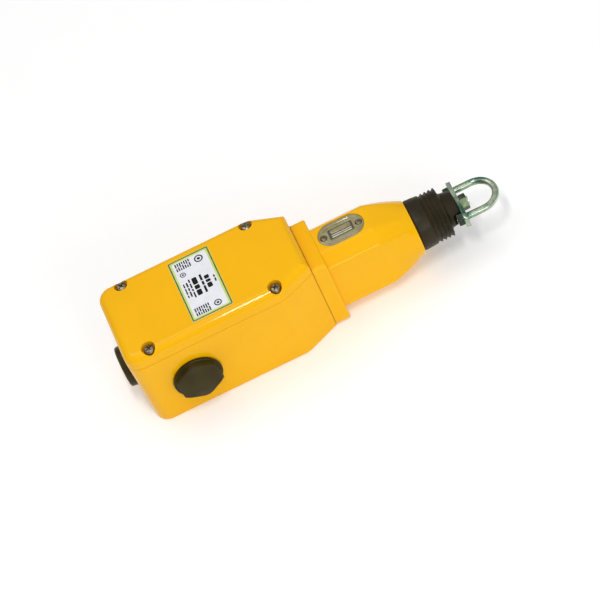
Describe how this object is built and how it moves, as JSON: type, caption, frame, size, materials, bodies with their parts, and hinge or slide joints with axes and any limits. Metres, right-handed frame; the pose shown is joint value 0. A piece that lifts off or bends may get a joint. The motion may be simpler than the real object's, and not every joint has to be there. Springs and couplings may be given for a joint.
{
  "type": "rope-pull safety switch",
  "caption": "Die-cast rope-pull safety switch: lidded contact box, window nose with tension indicator, sprung pull shaft, rubber boot and rope shackle.",
  "frame": {"origin": "centre of the four tapped mounting holes, on the flat underside", "axes": "+X along the pull shaft towards the rope, +Z out of the lid, so -Y is the side of the near conduit entry"},
  "size_m": [0.2834, 0.0824, 0.0738],
  "materials": {
    "yellow_enamel": "gloss",
    "black_nylon": "satin",
    "black_rubber": "matt",
    "label_film": "gloss",
    "clear_polycarbonate": "clear",
    "dark_zinc_steel": "zinc plated",
    "yellow_zinc_steel": "yellow-green passivated zinc",
    "ground_steel": "ground",
    "spring_steel": "drawn",
    "zinc_plate_steel": "bright zinc",
    "bronze": "turned",
    "grey_aluminium": "cast",
    "acetal_natural": "smooth",
    "indicator_green": "smooth",
    "contact_brass": "bright",
    "contact_plastic": "moulded"
  },
  "bodies": {
    "housing": {"conduit_plug_seals": "black_rubber", "contact_block_pull": "contact_plastic", "contact_block_screws": "zinc_plate_steel", "contact_block_slack": "contact_plastic", "contact_cover_pull": "contact_plastic", "contact_cover_slack": "contact_plastic", "contact_spring_pull": "spring_steel", "contact_spring_slack": "spring_steel", "contact_terminals_pull": "contact_brass", "contact_terminals_slack": "contact_brass", "earth_screw": "contact_brass", "earth_washer": "contact_brass", "end_conduit_plug": "black_nylon", "far_conduit_plug": "black_nylon", "front_bush": "bronze", "housing_lid": "yellow_enamel", "lid_screws": "dark_zinc_steel", "lid_seal": "black_rubber", "main_housing": "yellow_enamel", "mounting_plate": "zinc_plate_steel", "mounting_plate_screws": "zinc_plate_steel", "near_conduit_plug": "black_nylon", "nose_casting": "yellow_enamel", "nose_screws": "dark_zinc_steel", "nose_seal": "black_rubber", "rating_label": "label_film", "rear_bush": "bronze", "return_spring": "spring_steel", "rubber_boot": "black_rubber", "tail_bearing_block": "grey_aluminium", "tail_block_screws": "zinc_plate_steel", "terminal_screws": "contact_brass", "window_pane": "clear_polycarbonate", "window_screws": "dark_zinc_steel", "window_seal": "black_rubber"},
    "pull_shaft_group": {"pull_shaft": "ground_steel", "spool_cam": "acetal_natural", "cam_retaining_clip": "ground_steel", "spring_collar": "zinc_plate_steel", "collar_pin": "ground_steel", "tension_indicator": "indicator_green", "shackle_plate": "yellow_zinc_steel", "shackle_rod": "yellow_zinc_steel", "shackle_nuts": "yellow_zinc_steel", "shaft_nut": "yellow_zinc_steel"},
    "slack_plunger_group": {"contact_plunger_slack": "acetal_natural", "contact_bridge_slack": "contact_brass"},
    "pull_plunger_group": {"contact_plunger_pull": "acetal_natural", "contact_bridge_pull": "contact_brass"}
  },
  "joints": [
    {"name": "shaft_pull", "type": "slide", "parent": "housing", "child": "pull_shaft_group", "axis": [1, 0, 0], "range_m": [0, 0.014], "stiffness_N_per_m": 6000, "springref_m": -0.012, "deforming": ["return_spring", "rubber_boot"]},
    {"name": "slack_plunger_slide", "type": "slide", "parent": "housing", "child": "slack_plunger_group", "axis": [0, -1, 0], "range_m": [0, 0.00281], "stiffness_N_per_m": 120, "springref_m": -0.004, "deforming": ["contact_spring_slack"]},
    {"name": "pull_plunger_slide", "type": "slide", "parent": "housing", "child": "pull_plunger_group", "axis": [0, -1, 0], "range_m": [0, 0.00281], "stiffness_N_per_m": 120, "springref_m": 0.004, "deforming": ["contact_spring_pull"]}
  ],
  "couplings": [
    {"joint": "slack_plunger_slide", "follows": "shaft_pull", "ratio": 0.2},
    {"joint": "pull_plunger_slide", "follows": "shaft_pull", "ratio": 0.2}
  ]
}
